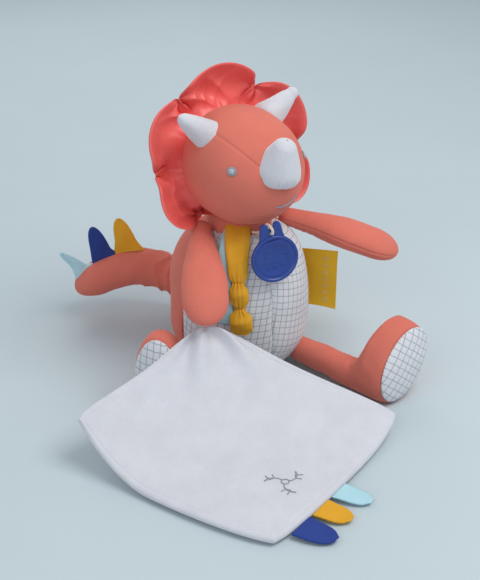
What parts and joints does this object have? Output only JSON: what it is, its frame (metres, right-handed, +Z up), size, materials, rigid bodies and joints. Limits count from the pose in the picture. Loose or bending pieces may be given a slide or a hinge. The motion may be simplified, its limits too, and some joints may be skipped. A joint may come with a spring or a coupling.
{
  "type": "stuffed toy dinosaur",
  "caption": "Seated stuffed dinosaur with a soft frill and three padded horns, holding the corner of a square plush blanket.",
  "frame": {"origin": "on the floor, under the middle of the seat", "axes": "+Z up; the toy faces -Y, so its own left is +X"},
  "size_m": [0.2766, 0.3633, 0.2315],
  "materials": {
    "wadding": "matte",
    "check_cotton": "matte",
    "rose_velour": "satin",
    "white_plush": "matte",
    "grey_thread": "satin",
    "mustard_cotton": "matte",
    "blue_cotton": "matte",
    "mint_satin": "satin",
    "blue_plastic": "gloss",
    "cream_cord": "matte",
    "coral_cotton": "matte"
  },
  "bodies": {
    "torso": {"torso_front_left": "check_cotton", "torso_front_right": "check_cotton", "torso_back": "coral_cotton", "torso_stuffing": "wadding", "tie_mustard": "mustard_cotton", "tie_mint": "mint_satin", "blanket_top": "white_plush", "blanket_bottom": "white_plush", "blanket_motif": "grey_thread", "tag_mint": "mint_satin", "tag_mustard": "mustard_cotton", "tag_blue": "blue_cotton"},
    "head": {"head_gusset": "coral_cotton", "head_side_left": "coral_cotton", "head_side_right": "coral_cotton", "head_back": "coral_cotton", "head_stuffing": "wadding", "frill_front": "rose_velour", "frill_back": "rose_velour", "frill_wadding": "wadding", "brow_horn_left": "white_plush", "brow_horn_right": "white_plush", "nose_horn": "white_plush", "brow_horn_left_stuffing": "wadding", "brow_horn_right_stuffing": "wadding", "nose_horn_stuffing": "wadding", "eye_left": "grey_thread", "eye_right": "grey_thread", "mouth": "grey_thread"},
    "arm_left": {"arm_left_top": "coral_cotton", "arm_left_under": "coral_cotton", "arm_left_stuffing": "wadding"},
    "arm_right": {"arm_right_top": "coral_cotton", "arm_right_under": "coral_cotton", "arm_right_stuffing": "wadding"},
    "leg_left": {"leg_left_outer": "coral_cotton", "leg_left_inner": "coral_cotton", "leg_left_sole": "check_cotton", "leg_left_stuffing": "wadding"},
    "leg_right": {"leg_right_outer": "coral_cotton", "leg_right_inner": "coral_cotton", "leg_right_sole": "check_cotton", "leg_right_stuffing": "wadding"},
    "tail": {"tail_right": "coral_cotton", "tail_left": "coral_cotton", "tail_stuffing": "wadding", "spike_mustard": "mustard_cotton", "spike_blue": "blue_cotton", "spike_mint": "mint_satin"},
    "medallion": {"medallion": "blue_plastic", "medallion_cord": "cream_cord"},
    "label": {"label": "mustard_cotton"}
  },
  "joints": [
    {"name": "neck_turn", "type": "hinge", "parent": "torso", "child": "head", "pos_m": [-0.004, -0.002, 0.163], "axis": [0, 0, 1], "range_deg": [-35, 35]},
    {"name": "left_shoulder", "type": "hinge", "parent": "torso", "child": "arm_left", "pos_m": [0.0405, -0.006, 0.1095], "axis": [-0.6428, -0.766, 0], "range_deg": [-4, 35]},
    {"name": "right_shoulder", "type": "hinge", "parent": "torso", "child": "arm_right", "pos_m": [-0.0383, -0.0077, 0.1152], "axis": [-0.9135, 0.4067, 0], "range_deg": [0, 15], "deforming": ["blanket_top", "blanket_bottom"]},
    {"name": "left_hip", "type": "hinge", "parent": "torso", "child": "leg_left", "pos_m": [0.032, -0.039, 0.0127], "axis": [-0.9455, -0.3256, 0], "range_deg": [0, 25]},
    {"name": "right_hip", "type": "hinge", "parent": "torso", "child": "leg_right", "pos_m": [-0.053, -0.0096, 0.0127], "axis": [-0.7193, 0.6947, 0], "range_deg": [0, 8]},
    {"name": "tail_swing", "type": "hinge", "parent": "torso", "child": "tail", "pos_m": [-0.003, 0.057, 0.034], "axis": [0, 0, 1], "range_deg": [-20, 5]},
    {"name": "medallion_swing", "type": "hinge", "parent": "torso", "child": "medallion", "pos_m": [-0.006, -0.026, 0.117], "axis": [-0.9903, 0.1392, 0], "range_deg": [0, 4]},
    {"name": "label_bend", "type": "hinge", "parent": "torso", "child": "label", "pos_m": [0.0525, -0.002, 0.055], "axis": [0, 0, 1], "range_deg": [-20, 20]}
  ]
}
